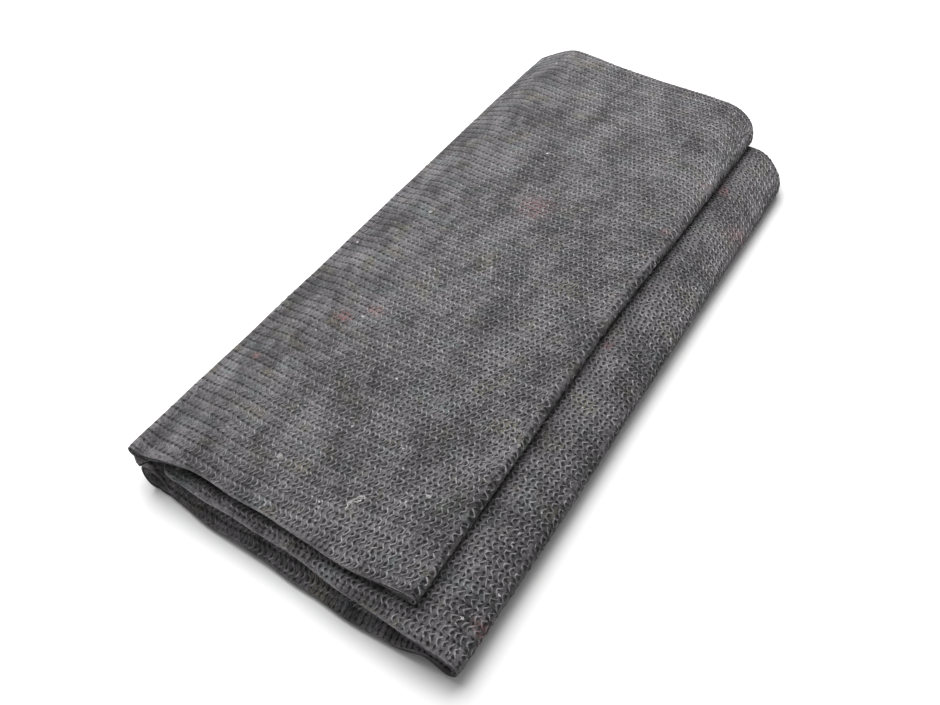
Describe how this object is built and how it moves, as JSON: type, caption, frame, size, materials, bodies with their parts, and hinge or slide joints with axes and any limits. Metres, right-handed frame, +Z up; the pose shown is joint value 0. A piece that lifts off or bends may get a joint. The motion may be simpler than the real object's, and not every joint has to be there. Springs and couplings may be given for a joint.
{
  "type": "folded moving blanket",
  "caption": "Grey stitch-bonded moving blanket, halved and folded back and forth into a flat stack that lies on a surface.",
  "frame": {"origin": "on the surface the blanket lies on, under the middle of its bounding box", "axes": "+Y along the folded stack, from the cut ends of the cloth to its folded end; +Z up, away from the surface; +X across the stack, towards the folds that stand out from under the top panel"},
  "size_m": [0.3197, 0.7147, 0.0447],
  "materials": {
    "felt": "matte stitch-bonded recycled felt, mottled mid grey with paler stitch yarn"
  },
  "bodies": {
    "root": {"blanket": "felt"}
  },
  "joints": []
}
